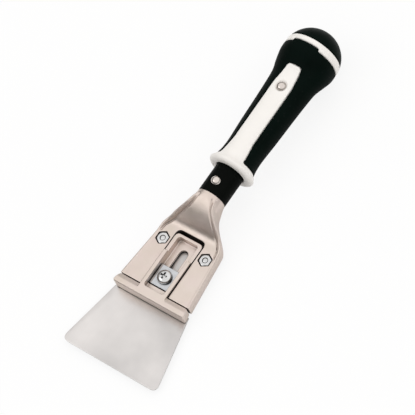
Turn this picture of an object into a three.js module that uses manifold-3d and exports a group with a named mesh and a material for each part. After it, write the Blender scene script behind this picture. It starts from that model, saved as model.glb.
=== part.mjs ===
// A scraper: a clamped steel blade, a sliding blade stiffener, a cast head and a two-colour handle.
// Millimetres. X runs across the blade, Y from the cutting edge to the end cap, Z from back to front.
// The handle's axis is x = 0, z = 0 while building, and the cutting edge is y = 0.
import * as THREE from 'three';
import { mergeVertices } from 'three/addons/utils/BufferGeometryUtils.js';
import Module from 'manifold-3d';

const wasm = await Module();
wasm.setup();

// Clearances
const FIT_GAP = 0.3; // between pieces that are cut or moulded to each other
const SEAT_GAP = 0.25; // under pieces that turn or slide on their seat
const SIDE_PLAY = 0.6; // each side of the stiffener's stem
const HOLE_PLAY = 0.5; // round a screw or pin in its hole

// Blade
const BLADE_WIDTH = 75;
const BLADE_THICKNESS = 1;
const BLADE_REACH = 54.5; // cutting edge to the head's lower edge
const BLADE_TAPER = 0.2; // half-width lost per millimetre of length
const BLADE_CORNER = 4.5;
const TANG_WIDTH = 44;
const TANG_LENGTH = 41;
const TANG_SHOULDER = 3; // below the head's lower edge, hidden by the stiffener

// Head casting
const HEAD_WIDTH = 54.4;
const HEAD_TAPER = 0.1;
const HEAD_THICKNESS = 7.5; // plate front to blade
const BLADE_DEPTH = 16.25; // handle axis back to the blade's front face
const SHOULDER_START = 40.5;
const SHOULDER_END = 61;
const SCOOP_START = 42.5;
const SCOOP_FOOT = 6; // length of the hollow where the front starts to climb
const SCOOP_STEEP = 58; // its slope at the end of that hollow, in degrees
const SCOOP_LEVEL = 10; // and at the tube
const NECK_LENGTH = 68.25; // head's lower edge to the tube
const BACK_RISE_START = 42;
const PLATE_SQUARENESS = 14; // exponent of the rounded section, 2 is an ellipse
const RIB_HALF_WIDTH = 1.3;
const RIB_DEPTH = 3.2;
const RIB_RISE = 2.8;
const RIB_LOW_ANGLE = 45; // round the head's section from its front, at the plate
const RIB_HIGH_ANGLE = 36; // and at the neck
const RIB_RUN = 8;
const RIB_FADE = 57; // head's lower edge to where the rib starts to sink
const RIM_RISE = 0.3;
const SPIGOT_LENGTH = 16;

// Blade stiffener
const STEM_WIDTH = 20.8;
const STEM_END_GAP = 2.5;
const STEM_REACH = 40.75; // head's lower edge to the stem's end
const STEM_CORNER = 3.25;
const BAR_HEIGHT = 6.9;
const BAR_WIDTH = 55.5;
const BAR_CORNER = 1.5;
const BAR_BEVEL = 3.25;
const BAR_LOWER_BEVEL = 0.8;
const BAR_GAP = 0.6; // to the head's lower edge
const RAIL_RISE = 1.75;
const RAIL_REACH = 26.5; // head's lower edge to the step in the rails
const POCKET_WIDTH = 15.4;
const POCKET_DEPTH = 5; // below the plate front
const POCKET_WALL = 2; // above the pocket
const POCKET_CORNER = 2;
const LEDGE_DROP = 0.5; // pocket's lower ledge, below the guide plate's top
const SLOT_PLAY = 0.9; // round the lock screw in the slot
const TRAVEL = 19.5;

// Lock screw, M5 pan head with its guide plate and thin nut
const LOCK_REACH = 11; // head's lower edge to the screw
const LOCK_SHANK_RADIUS = 2.2;
const LOCK_HEAD_RADIUS = 4.75;
const LOCK_HEAD_HEIGHT = 3.5;
const LOCK_HEAD_RIM = 1.2; // upright part of the head's side
const LOCK_NUT_FLATS = 8;
const LOCK_NUT_HEIGHT = 2.5;
const GUIDE_PLATE_WIDTH = 14.6;
const GUIDE_PLATE_THICKNESS = 2.5;
const DRIVE_SLOT = 1.3;
const DRIVE_SPAN = 4.6;
const DRIVE_DEPTH = 1.6;

// Clamp screws, M4 countersunk with hexagon nuts
const CLAMP_REACH = 33;
const CLAMP_SPACING = 33.5;
const CLAMP_SHANK_RADIUS = 1.7;
const CLAMP_HEAD_RADIUS = 3.8;
const CLAMP_NUT_FLATS = 7;
const CLAMP_NUT_HEIGHT = 3.25;
const NUT_SINK = 0.5; // nut top below the plate front
const NUT_PLAY = 0.6; // round a clamp nut in its pocket
const CLAMP_END_ROUND = 0.55;

// Back plate
const BACK_PLATE_THICKNESS = 2.75;
const BACK_PLATE_INSET = 3;
const BACK_PLATE_LENGTH = 45;
const BACK_PLATE_CORNER = 6;

// Shank tube and its rivet
const TUBE_RADIUS = 10;
const TUBE_WALL = 1.5;
const TUBE_EXPOSED = 21;
const TUBE_INSERTION = 74; // length inside the handle
const RIVET_REACH = 8.7; // head to rivet
const RIVET_RADIUS = 1.6;
const RIVET_HEAD_RADIUS = 3.3;
const RIVET_HEAD_HEIGHT = 2.1;

// Handle, heights measured from the guard's lower face
const GUARD_RADIUS = 16.5;
const GUARD_RIM = 2.4;
const GUARD_ROUND = 2.9;
const GRIP_FOOT = 6.25;
const GRIP_FOOT_RADIUS = 14.2;
const WAIST = 13.5;
const WAIST_RADIUS = 13.1;
const PALM = 65;
const PALM_WIDTH = 31.4;
const HANDLE_DEPTH = 25.5;
const BULB_FOOT = 75.5;
const BULB_FOOT_WIDTH = 33.6;
const BULB_CENTRE = 95.25;
const BULB_RADIUS = 20;
const SWELL_SHARE = 0.4; // of the way from waist to palm, where the full depth is reached
const BULB_LOWER = { run: 0.33, width: 0.6, depth: 0.25 }; // shares of the bulb's growth low on it
const BULB_UPPER = { run: 0.72, width: 1, depth: 0.92 }; // and high on it
const GRIP_SKIN = 1.4;
const STRIPE_WIDTH = 14;
const STRIPE_TIP_WIDTH = 10;
const STRIPE_END = 80.5;
const STRIPE_CORNER = 2.5;
const STRIPE_FLARE = 2; // widening of each side down to the guard
const STRIPE_FLARE_ROUND = 9.3;
const RING_FRONT = 96;
const RING_SIDE = 94.25;
const RING_TOP = 100.25;
const RING_NOTCH_WIDTH = 18.6;
const CAP_PLUG_RADIUS = 8;
const CAP_PLUG_LENGTH = 12;
const PIN_INSET = 10; // below the tube's upper end
const PIN_RADIUS = 1.8;
const PIN_HEAD_RADIUS = 2.6;
const PIN_HEAD_HEIGHT = 1.4;
const DISH_RADIUS = 4.2;
const DISH_DEPTH = 1.5;

// Fineness of round shapes
const ROUND_STEPS = 36;
const SMALL_STEPS = 20;
const CURVE_STEPS = 8;
const SHOULDER_STEPS = 16;
const HANDLE_STEPS = 26;
const RIM_STEPS = 5;
const DOME_STEPS = 8;
const PIN_DOME_STEPS = 6;
const SCREW_END_STEPS = 3;
const RIB_STEPS = 22;
const RIB_SIDES = 10;

// Levels and stations worked out from the sizes
const bladeFront = -BLADE_DEPTH;
const bladeBack = bladeFront - BLADE_THICKNESS;
const plateFront = bladeFront + HEAD_THICKNESS;
const plateBack = bladeBack - BACK_PLATE_THICKNESS;
const headY = BLADE_REACH;
const neckY = headY + NECK_LENGTH;
const guardY = neckY + TUBE_EXPOSED;
const tubeEndY = guardY + TUBE_INSERTION;
const footY = guardY + GRIP_FOOT;
const ringTopY = guardY + RING_TOP;
const bulbY = guardY + BULB_CENTRE;
const topY = bulbY + BULB_RADIUS;
const lockY = headY + LOCK_REACH;
const clampY = headY + CLAMP_REACH;
const rivetY = neckY + RIVET_REACH;
const pinY = tubeEndY - PIN_INSET;
const stemTopY = headY + STEM_REACH;
const barTopY = headY - BAR_GAP;
const barBottomY = barTopY - BAR_HEIGHT;
const stiffenerBack = bladeFront + SEAT_GAP;
const pocketFloor = plateFront - POCKET_DEPTH;
const railTop = plateFront + RAIL_RISE;
const slotRadius = LOCK_SHANK_RADIUS + SLOT_PLAY;
const beyond = 2 * BULB_RADIUS; // how far a cut runs past what it cuts

// Solids, cuts and meshes

function solidOf(geometry) {
  const bare = geometry.clone();
  bare.deleteAttribute('normal');
  bare.deleteAttribute('uv');
  const merged = mergeVertices(bare);
  const corners = merged.index.array;
  const triangles = [];
  for (let i = 0; i < corners.length; i += 3) {
    const [a, b, c] = corners.slice(i, i + 3);
    if (a !== b && b !== c && c !== a) triangles.push(a, b, c);
  }
  const vertProperties = new Float32Array(merged.attributes.position.array);
  const triVerts = new Uint32Array(triangles);
  return new wasm.Manifold(new wasm.Mesh({ numProp: 3, vertProperties, triVerts }));
}

function geometryOf(solid) {
  const mesh = solid.getMesh();
  const geometry = new THREE.BufferGeometry();
  geometry.setAttribute('position', new THREE.BufferAttribute(new Float32Array(mesh.vertProperties), 3));
  geometry.setIndex(new THREE.BufferAttribute(new Uint32Array(mesh.triVerts), 1));
  geometry.computeVertexNormals();
  return geometry;
}

function joined(first, ...others) {
  return others.reduce((sum, other) => sum.add(other), first);
}

function cut(body, ...tools) {
  return tools.reduce((rest, tool) => rest.subtract(tool), body);
}

// An outline in X and Y, raised from one level to another
function prism(shape, fromZ, toZ) {
  const geometry = new THREE.ExtrudeGeometry(shape, {
    depth: toZ - fromZ,
    bevelEnabled: false,
    curveSegments: CURVE_STEPS,
  });
  return solidOf(geometry.translate(0, 0, fromZ));
}

function box(fromX, toX, fromY, toY, fromZ, toZ) {
  const geometry = new THREE.BoxGeometry(toX - fromX, toY - fromY, toZ - fromZ);
  return solidOf(geometry.translate((fromX + toX) / 2, (fromY + toY) / 2, (fromZ + toZ) / 2));
}

// A turned piece: profile of [radius, height] pairs, about Y or, standing at x and y, about Z
function turnedAboutY(profile, steps = ROUND_STEPS) {
  return solidOf(new THREE.LatheGeometry(profile.map(([r, y]) => new THREE.Vector2(r, y)), steps));
}

function turnedAboutZ(profile, x, y, steps = SMALL_STEPS) {
  const geometry = new THREE.LatheGeometry(profile.map(([r, z]) => new THREE.Vector2(r, z)), steps);
  return solidOf(geometry.rotateX(Math.PI / 2).translate(x, y, 0));
}

function rodAboutY(radius, fromY, toY) {
  return turnedAboutY([[0, fromY], [radius, fromY], [radius, toY], [0, toY]]);
}

function rodAboutZ(radius, x, y, fromZ, toZ) {
  return turnedAboutZ([[0, fromZ], [radius, fromZ], [radius, toZ], [0, toZ]], x, y);
}

// Profile of a shallow dome, from its rim to the axis
function domeProfile(radius, baseZ, height, steps = PIN_DOME_STEPS) {
  return Array.from({ length: steps + 1 }, (_, i) => {
    const angle = (i / steps) * Math.PI / 2;
    return [i === steps ? 0 : radius * Math.cos(angle), baseZ + height * Math.sin(angle)];
  });
}

// A closed skin through rings of equally many points, stacked along Y
function loft(rings) {
  const count = rings[0].length;
  const last = (rings.length - 1) * count;
  const positions = rings.flat().flatMap((point) => point.toArray());
  const index = [];
  for (let base = 0; base < last; base += count) {
    for (let i = 0; i < count; i += 1) {
      const here = base + i;
      const next = base + ((i + 1) % count);
      index.push(here, next, here + count, next, next + count, here + count);
    }
  }
  for (let i = 1; i + 1 < count; i += 1) {
    index.push(0, i + 1, i);
    index.push(last, last + i, last + i + 1);
  }
  const geometry = new THREE.BufferGeometry();
  geometry.setAttribute('position', new THREE.Float32BufferAttribute(positions, 3));
  geometry.setIndex(index);
  return solidOf(geometry);
}

function hexagon(flats, x, y) {
  const shape = new THREE.Shape();
  const corner = flats / Math.sqrt(3);
  for (let i = 0; i < 6; i += 1) {
    const angle = Math.PI / 2 + (i * Math.PI) / 3;
    const px = x + corner * Math.cos(angle);
    const py = y + corner * Math.sin(angle);
    if (i === 0) shape.moveTo(px, py);
    else shape.lineTo(px, py);
  }
  return shape.closePath();
}

// A closed outline through corner points [x, y, radius], each corner rounded
function roundedOutline(corners) {
  const shape = new THREE.Shape();
  corners.forEach(([x, y, radius], i) => {
    const here = new THREE.Vector2(x, y);
    const before = new THREE.Vector2(...corners[(i + corners.length - 1) % corners.length]);
    const after = new THREE.Vector2(...corners[(i + 1) % corners.length]);
    const inward = before.sub(here).normalize();
    const outward = after.sub(here).normalize();
    const half = Math.acos(inward.dot(outward)) / 2;
    const setback = radius / Math.tan(half);
    const start = here.clone().addScaledVector(inward, setback);
    const end = here.clone().addScaledVector(outward, setback);
    if (i === 0) shape.moveTo(start.x, start.y);
    else shape.lineTo(start.x, start.y);
    if (radius > 0) shape.quadraticCurveTo(x, y, end.x, end.y);
  });
  return shape.closePath();
}

function mirroredOutline(rightSide) {
  const leftSide = rightSide.map(([x, y, radius]) => [-x, y, radius]).reverse();
  return roundedOutline([...rightSide, ...leftSide]);
}

function smooth(from, to, at) {
  return THREE.MathUtils.smoothstep(at, from, to);
}

const mix = THREE.MathUtils.lerp;

// Blade

function tangOutline(grow) {
  const half = TANG_WIDTH / 2 + grow;
  const top = headY + TANG_LENGTH + grow;
  const topHalf = half - BLADE_TAPER * TANG_LENGTH;
  return { half, top, topHalf };
}

function makeBlade() {
  const shoulderY = headY - TANG_SHOULDER;
  const shoulderHalf = BLADE_WIDTH / 2 - BLADE_TAPER * shoulderY;
  const tang = tangOutline(0);
  const outline = mirroredOutline([
    [BLADE_WIDTH / 2, 0, BLADE_CORNER],
    [shoulderHalf, shoulderY, 0],
    [tang.half, shoulderY, 0],
    [tang.topHalf, tang.top, BLADE_CORNER],
  ]);
  const sheet = prism(outline, bladeBack, bladeFront);
  const holes = [-1, 1].map((side) => clampHole(side));
  return cut(sheet, lockHole(), ...holes);
}

function clampHole(side) {
  const x = (side * CLAMP_SPACING) / 2;
  return rodAboutZ(CLAMP_SHANK_RADIUS + HOLE_PLAY, x, clampY, -beyond, beyond);
}

function lockHole() {
  return rodAboutZ(LOCK_SHANK_RADIUS + HOLE_PLAY, 0, lockY, -beyond, beyond);
}

// Head casting

function headHalfWidth(along) {
  const plate = HEAD_WIDTH / 2 - HEAD_TAPER * along;
  return mix(plate, TUBE_RADIUS, smooth(SHOULDER_START, SHOULDER_END, along));
}

// The front's climb from the plate, whose slope grows evenly over the foot and then falls evenly
function scoopClimb(run) {
  const steep = THREE.MathUtils.degToRad(SCOOP_STEEP);
  const turn = steep - THREE.MathUtils.degToRad(SCOOP_LEVEL);
  const rest = NECK_LENGTH - SCOOP_START - SCOOP_FOOT;
  const low = Math.min(run, SCOOP_FOOT);
  const high = Math.max(run - SCOOP_FOOT, 0);
  const foot = -(SCOOP_FOOT / steep) * Math.log(Math.cos((steep * low) / SCOOP_FOOT));
  const upper = (rest / turn) * Math.log(Math.cos(steep - (turn * high) / rest) / Math.cos(steep));
  return foot + upper;
}

function scoopRise(along) {
  return scoopClimb(Math.max(along - SCOOP_START, 0)) / scoopClimb(NECK_LENGTH - SCOOP_START);
}

function headSection(along) {
  const front = mix(plateFront, TUBE_RADIUS, scoopRise(along));
  const back = mix(bladeBack, -TUBE_RADIUS, smooth(BACK_RISE_START, NECK_LENGTH, along));
  const squareness = mix(PLATE_SQUARENESS, 2, smooth(SCOOP_START, NECK_LENGTH, along));
  return { half: headHalfWidth(along), middle: (front + back) / 2, deep: (front - back) / 2, squareness };
}

// A point of the head's skin, the angle running from the front over the right side to the back
function headPoint(along, angle) {
  const { half, middle, deep, squareness } = headSection(along);
  const power = 2 / squareness;
  const sine = Math.sin(angle);
  const cosine = Math.cos(angle);
  const x = half * Math.sign(sine) * Math.abs(sine) ** power;
  const z = middle + deep * Math.sign(cosine) * Math.abs(cosine) ** power;
  return new THREE.Vector3(x, headY + along, z);
}

function makeHeadSkin() {
  const stations = [0, SHOULDER_START / 2];
  for (let i = 0; i <= SHOULDER_STEPS; i += 1) {
    stations.push(mix(SHOULDER_START, NECK_LENGTH, i / SHOULDER_STEPS));
  }
  const rings = stations.map((along) => Array.from({ length: ROUND_STEPS }, (_, i) => (
    headPoint(along, (i / ROUND_STEPS) * 2 * Math.PI)
  )));
  return loft(rings);
}

// The raised rib that follows the head's front edge up over the shoulder to the neck
function makeRib(side) {
  const crest = (along) => {
    const upper = smooth(SHOULDER_START, SHOULDER_END, along);
    const growth = smooth(SHOULDER_START - RIB_RUN, SHOULDER_START + RIB_RUN, along);
    const fade = smooth(RIB_FADE, NECK_LENGTH, along);
    const angle = THREE.MathUtils.degToRad(mix(RIB_LOW_ANGLE, RIB_HIGH_ANGLE, upper));
    const point = headPoint(along, angle);
    point.z += mix(mix(RIM_RISE, RIB_RISE, growth), -RIM_RISE, fade);
    return point;
  };
  const rings = [];
  for (let i = 0; i <= RIB_STEPS; i += 1) {
    const along = (i / RIB_STEPS) * (NECK_LENGTH - RIB_HALF_WIDTH);
    const here = crest(along);
    const lean = crest(along + RIB_HALF_WIDTH).sub(here);
    const across = RIB_HALF_WIDTH * Math.hypot(1, lean.x / lean.y);
    rings.push(oval(across, here.y, RIB_DEPTH, RIB_SIDES).map((point) => (
      point.add(new THREE.Vector3(side * here.x, 0, here.z - RIB_DEPTH))
    )));
  }
  return loft(rings);
}

function makeHead() {
  const tang = tangOutline(FIT_GAP);
  const channelHalf = STEM_WIDTH / 2 + SIDE_PLAY;
  const channel = mirroredOutline([
    [channelHalf, headY - beyond, 0],
    [channelHalf, stemTopY + STEM_END_GAP, STEM_CORNER + SIDE_PLAY],
  ]);
  const recess = mirroredOutline([
    [tang.half + BLADE_TAPER * beyond, headY - beyond, 0],
    [tang.topHalf, tang.top, BLADE_CORNER],
  ]);
  const spigotRadius = TUBE_RADIUS - TUBE_WALL - FIT_GAP;
  const body = joined(
    makeHeadSkin(),
    makeRib(1),
    makeRib(-1),
    rodAboutY(spigotRadius, neckY - TUBE_WALL, neckY + SPIGOT_LENGTH),
  );
  const nutFloor = plateFront - NUT_SINK - CLAMP_NUT_HEIGHT;
  const nutPockets = [-1, 1].map((side) => prism(
    hexagon(CLAMP_NUT_FLATS + 2 * NUT_PLAY, (side * CLAMP_SPACING) / 2, clampY),
    nutFloor,
    beyond,
  ));
  return cut(
    body,
    prism(channel, -beyond, beyond),
    prism(recess, -beyond, bladeFront),
    ...nutPockets,
    clampHole(1),
    clampHole(-1),
    rivetHole(),
  );
}

// Blade stiffener

function makeStiffener() {
  const stemHalf = STEM_WIDTH / 2;
  const barHalf = BAR_WIDTH / 2;
  const barTopHalf = barHalf - BLADE_TAPER * BAR_HEIGHT;
  const bar = [
    [barHalf, barBottomY, BAR_CORNER],
    [barTopHalf, barTopY, BAR_CORNER],
    [stemHalf, barTopY, 0],
  ];
  const base = mirroredOutline([...bar, [stemHalf, stemTopY, STEM_CORNER]]);
  const raised = mirroredOutline([...bar, [stemHalf, headY + RAIL_REACH, 0]]);
  const pocketTop = stemTopY - POCKET_WALL;
  const pocket = mirroredOutline([
    [POCKET_WIDTH / 2, barTopY, POCKET_CORNER],
    [POCKET_WIDTH / 2, pocketTop, POCKET_CORNER],
  ]);
  const body = joined(
    prism(base, stiffenerBack, plateFront),
    cut(prism(raised, pocketFloor, railTop), makeUpperBevel(1), makeUpperBevel(-1)),
  );
  const ledgeHalf = POCKET_WIDTH / 2;
  const ledgeTopY = lockY - GUIDE_PLATE_WIDTH / 2 - HOLE_PLAY;
  const ledge = box(-ledgeHalf, ledgeHalf, barTopY, ledgeTopY, pocketFloor, guideTop - LEDGE_DROP);
  return joined(cut(body, makeLowerBevel(), prism(pocket, pocketFloor, beyond), makeStiffenerSlot()), ledge);
}

// A bar along X with an outline of [y, z] points
function wedge(points, fromX, toX) {
  const outline = new THREE.Shape(points.map(([y, z]) => new THREE.Vector2(y, z)));
  const geometry = new THREE.ExtrudeGeometry(outline, { depth: toX - fromX, bevelEnabled: false });
  // The outline's first axis turns to Y, its second to Z and the depth to X
  geometry.rotateX(Math.PI / 2).rotateZ(Math.PI / 2);
  return solidOf(geometry.translate(fromX, 0, 0));
}

// The slope on the bar's upper front edge, outside the rails
function makeUpperBevel(side) {
  return wedge([
    [barTopY - BAR_BEVEL, railTop],
    [barTopY + BAR_BEVEL, railTop - 2 * RAIL_RISE],
    [barTopY + BAR_BEVEL, railTop + RAIL_RISE],
    [barTopY - BAR_BEVEL, railTop + RAIL_RISE],
  ], side > 0 ? STEM_WIDTH / 2 : -BAR_WIDTH, side > 0 ? BAR_WIDTH : -STEM_WIDTH / 2);
}

function makeLowerBevel() {
  return wedge([
    [barBottomY - BAR_LOWER_BEVEL, railTop - 2 * BAR_LOWER_BEVEL],
    [barBottomY + BAR_LOWER_BEVEL, railTop],
    [barBottomY + BAR_LOWER_BEVEL, railTop + BAR_LOWER_BEVEL],
    [barBottomY - BAR_LOWER_BEVEL, railTop + BAR_LOWER_BEVEL],
  ], -BAR_WIDTH, BAR_WIDTH);
}

function makeStiffenerSlot() {
  const lower = lockY - SEAT_GAP;
  const upper = lockY + TRAVEL + SEAT_GAP;
  const slot = new THREE.Shape();
  slot.moveTo(slotRadius, lower);
  slot.lineTo(slotRadius, upper);
  slot.absarc(0, upper, slotRadius, 0, Math.PI);
  slot.lineTo(-slotRadius, lower);
  slot.absarc(0, lower, slotRadius, Math.PI, 2 * Math.PI);
  return prism(slot, -beyond, beyond);
}

// Lock screw with its guide plate and nut

const guideBottom = pocketFloor + SEAT_GAP;
const guideTop = guideBottom + GUIDE_PLATE_THICKNESS;

function makeLockScrew() {
  const headBase = guideTop + SEAT_GAP;
  const domeHeight = LOCK_HEAD_HEIGHT - LOCK_HEAD_RIM;
  const dome = domeProfile(LOCK_HEAD_RADIUS, headBase + LOCK_HEAD_RIM, domeHeight);
  const tip = plateBack + SEAT_GAP;
  const body = turnedAboutZ([
    [0, tip],
    [LOCK_SHANK_RADIUS, tip],
    [LOCK_SHANK_RADIUS, headBase],
    [LOCK_HEAD_RADIUS, headBase],
    ...dome,
  ], 0, lockY, 2 * SMALL_STEPS);
  const top = headBase + LOCK_HEAD_HEIGHT;
  const long = DRIVE_SPAN / 2;
  const narrow = DRIVE_SLOT / 2;
  return cut(
    body,
    box(-long, long, lockY - narrow, lockY + narrow, top - DRIVE_DEPTH, beyond),
    box(-narrow, narrow, lockY - long, lockY + long, top - DRIVE_DEPTH, beyond),
  );
}

function makeGuidePlate() {
  const half = GUIDE_PLATE_WIDTH / 2;
  const plate = box(-half, half, lockY - half, lockY + half, guideBottom, guideTop);
  return cut(plate, lockHole());
}

function makeLockNut() {
  const nut = prism(hexagon(LOCK_NUT_FLATS, 0, lockY), bladeBack - LOCK_NUT_HEIGHT, bladeBack);
  return cut(nut, rodAboutZ(LOCK_SHANK_RADIUS + FIT_GAP, 0, lockY, -beyond, beyond));
}

// Clamp screws, nuts and the back plate

function countersinkProfile(grow) {
  const radius = CLAMP_HEAD_RADIUS + grow;
  const shank = CLAMP_SHANK_RADIUS + grow;
  return [[radius, plateBack], [shank, plateBack + radius - shank]];
}

function makeClampScrew(side) {
  const [rim, throat] = countersinkProfile(0);
  const end = plateFront - NUT_SINK / 2;
  return turnedAboutZ([
    [0, rim[1]],
    rim,
    throat,
    ...domeProfile(CLAMP_SHANK_RADIUS, end - CLAMP_END_ROUND, CLAMP_END_ROUND, SCREW_END_STEPS),
  ], (side * CLAMP_SPACING) / 2, clampY);
}

function makeClampNut(side) {
  const x = (side * CLAMP_SPACING) / 2;
  const top = plateFront - NUT_SINK;
  const nut = prism(hexagon(CLAMP_NUT_FLATS, x, clampY), top - CLAMP_NUT_HEIGHT, top);
  return cut(nut, rodAboutZ(CLAMP_SHANK_RADIUS + FIT_GAP, x, clampY, -beyond, beyond));
}

function makeBackPlate() {
  const low = headHalfWidth(0) - BACK_PLATE_INSET;
  const high = headHalfWidth(BACK_PLATE_LENGTH) - BACK_PLATE_INSET;
  const shoulder = headHalfWidth(SHOULDER_START) - BACK_PLATE_INSET;
  const outline = mirroredOutline([
    [low, headY + BAR_GAP, BAR_CORNER],
    [shoulder, headY + SHOULDER_START, BACK_PLATE_CORNER / 2],
    [high, headY + BACK_PLATE_LENGTH, BACK_PLATE_CORNER],
  ]);
  const plate = prism(outline, plateBack, bladeBack);
  const nutHole = prism(hexagon(LOCK_NUT_FLATS + 2 * FIT_GAP, 0, lockY), -beyond, beyond);
  const countersinks = [-1, 1].map((side) => {
    const [rim, throat] = countersinkProfile(FIT_GAP);
    const outer = [rim[0], rim[1] - BACK_PLATE_THICKNESS];
    const profile = [[0, outer[1]], outer, rim, throat, [throat[0], beyond], [0, beyond]];
    return turnedAboutZ(profile, (side * CLAMP_SPACING) / 2, clampY);
  });
  return cut(plate, nutHole, ...countersinks);
}

// Shank tube, its rivet and the handle's pin

function rivetHole() {
  return rodAboutZ(RIVET_RADIUS + FIT_GAP, 0, rivetY, -beyond, beyond);
}

function pinHole() {
  return rodAboutZ(PIN_RADIUS + FIT_GAP, 0, pinY, -beyond, beyond);
}

function makeTube() {
  const inner = TUBE_RADIUS - TUBE_WALL;
  const bottom = neckY + SEAT_GAP;
  const tube = cut(
    rodAboutY(TUBE_RADIUS, bottom, tubeEndY),
    rodAboutY(inner, bottom - beyond, tubeEndY + beyond),
  );
  return cut(tube, rivetHole(), pinHole());
}

// A pin along Z with a domed head at each end
function domedPin(y, shankRadius, headRadius, headBase, headHeight) {
  const upper = domeProfile(headRadius, headBase, headHeight);
  const lower = upper.map(([radius, z]) => [radius, -z]).reverse();
  return turnedAboutZ([...lower, [shankRadius, -headBase], [shankRadius, headBase], ...upper], 0, y);
}

function makeRivet() {
  // The heads' undersides follow the tube
  const seat = rodAboutY(TUBE_RADIUS + SEAT_GAP, rivetY - beyond, rivetY + beyond);
  const low = Math.sqrt(TUBE_RADIUS ** 2 - RIVET_HEAD_RADIUS ** 2);
  const domes = domedPin(rivetY, RIVET_HEAD_RADIUS, RIVET_HEAD_RADIUS, TUBE_RADIUS, RIVET_HEAD_HEIGHT);
  const shank = rodAboutZ(RIVET_RADIUS, 0, rivetY, -TUBE_RADIUS - SEAT_GAP, TUBE_RADIUS + SEAT_GAP);
  const middle = box(-beyond, beyond, -beyond, topY, -low, low);
  return cut(domes, middle, seat).add(shank);
}

const dishFloor = HANDLE_DEPTH / 2 - DISH_DEPTH;

function makePin() {
  return domedPin(pinY, PIN_RADIUS, PIN_HEAD_RADIUS, dishFloor + SEAT_GAP, PIN_HEAD_HEIGHT);
}

// Handle

// Half-width and half-depth along the handle, as points (half-width, height, half-depth)
function handleCurve() {
  const point = (halfWidth, height, halfDepth) => new THREE.Vector3(halfWidth, guardY + height, halfDepth);
  const half = HANDLE_DEPTH / 2;
  const bulbPoint = (share) => point(
    mix(BULB_FOOT_WIDTH / 2, BULB_RADIUS, share.width),
    mix(BULB_FOOT, BULB_CENTRE, share.run),
    mix(half, BULB_RADIUS, share.depth),
  );
  return new THREE.CatmullRomCurve3([
    point(GUARD_RADIUS, GUARD_RIM, GUARD_RADIUS),
    point(GRIP_FOOT_RADIUS, GRIP_FOOT, GRIP_FOOT_RADIUS),
    point(WAIST_RADIUS, WAIST, WAIST_RADIUS),
    point(mix(WAIST_RADIUS, PALM_WIDTH / 2, SWELL_SHARE), mix(WAIST, PALM, SWELL_SHARE), half),
    point(PALM_WIDTH / 2, PALM, half),
    point(BULB_FOOT_WIDTH / 2, BULB_FOOT, half),
    bulbPoint(BULB_LOWER),
    bulbPoint(BULB_UPPER),
    point(BULB_RADIUS, BULB_CENTRE, BULB_RADIUS),
  ]);
}

function oval(halfWidth, y, halfDepth, sides = ROUND_STEPS) {
  return Array.from({ length: sides }, (_, i) => {
    const angle = (i / sides) * 2 * Math.PI;
    return new THREE.Vector3(halfWidth * Math.sin(angle), y, halfDepth * Math.cos(angle));
  });
}

// The handle's whole outer skin from the guard to the top, drawn in by a wall thickness
function handleSkin(inset) {
  const rings = [];
  for (let i = 0; i < RIM_STEPS; i += 1) {
    const angle = (i / RIM_STEPS) * Math.PI / 2;
    const radius = GUARD_RADIUS - GUARD_ROUND * (1 - Math.sin(angle)) - inset;
    rings.push(oval(radius, guardY + GUARD_RIM * (1 - Math.cos(angle)), radius));
  }
  for (const { x, y, z } of handleCurve().getPoints(HANDLE_STEPS)) rings.push(oval(x - inset, y, z - inset));
  const domeRadius = BULB_RADIUS - inset;
  for (let i = 1; i <= DOME_STEPS; i += 1) {
    const angle = (i / DOME_STEPS) * Math.PI / 2;
    const radius = domeRadius * Math.cos(angle);
    rings.push(oval(radius, bulbY + domeRadius * Math.sin(angle), radius));
  }
  return loft(rings);
}

function handleSlice(fromY, toY) {
  return box(-beyond, beyond, fromY, toY, -beyond, beyond);
}

function stripeOutline(grow) {
  const half = STRIPE_WIDTH / 2 + grow;
  const tip = STRIPE_TIP_WIDTH / 2 + grow;
  return mirroredOutline([
    [half + STRIPE_FLARE, footY - GRIP_FOOT / 2, 0],
    [half, guardY + WAIST + GRIP_FOOT, STRIPE_FLARE_ROUND],
    [half, guardY + PALM, STRIPE_CORNER],
    [tip, guardY + STRIPE_END + grow, STRIPE_CORNER],
  ]);
}

// The white core without its bores, each face that the soft grip meets moved out by grow
function coreBody(grow) {
  const skin = handleSkin(-grow);
  const lower = FIT_GAP - grow;
  const notch = box(
    -RING_NOTCH_WIDTH / 2 - lower,
    RING_NOTCH_WIDTH / 2 + lower,
    guardY,
    guardY + RING_FRONT + lower,
    -beyond,
    beyond,
  );
  const kept = joined(
    handleSlice(guardY - beyond, footY - lower),
    prism(stripeOutline(grow), -beyond, beyond),
    handleSlice(guardY + RING_SIDE + lower, ringTopY).subtract(notch),
  );
  const inner = handleSkin(GRIP_SKIN + FIT_GAP - grow);
  return joined(inner, skin.intersect(kept)).intersect(handleSlice(guardY - beyond, ringTopY));
}

function makeCore() {
  const dishes = [-1, 1].map((side) => rodAboutZ(
    DISH_RADIUS,
    0,
    pinY,
    Math.min(side * dishFloor, side * beyond),
    Math.max(side * dishFloor, side * beyond),
  ));
  return cut(
    coreBody(0),
    rodAboutY(TUBE_RADIUS + FIT_GAP, guardY - beyond, tubeEndY + FIT_GAP),
    rodAboutY(CAP_PLUG_RADIUS + FIT_GAP, ringTopY - CAP_PLUG_LENGTH - FIT_GAP, ringTopY + beyond),
    pinHole(),
    ...dishes,
  );
}

function makeGrip() {
  return handleSkin(0).intersect(handleSlice(footY, ringTopY - FIT_GAP)).subtract(coreBody(FIT_GAP));
}

function makeCap() {
  const dome = handleSkin(0).intersect(handleSlice(ringTopY + FIT_GAP, topY + beyond));
  return dome.add(rodAboutY(CAP_PLUG_RADIUS, ringTopY - CAP_PLUG_LENGTH, ringTopY + 2 * FIT_GAP));
}

// Finishes

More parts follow.
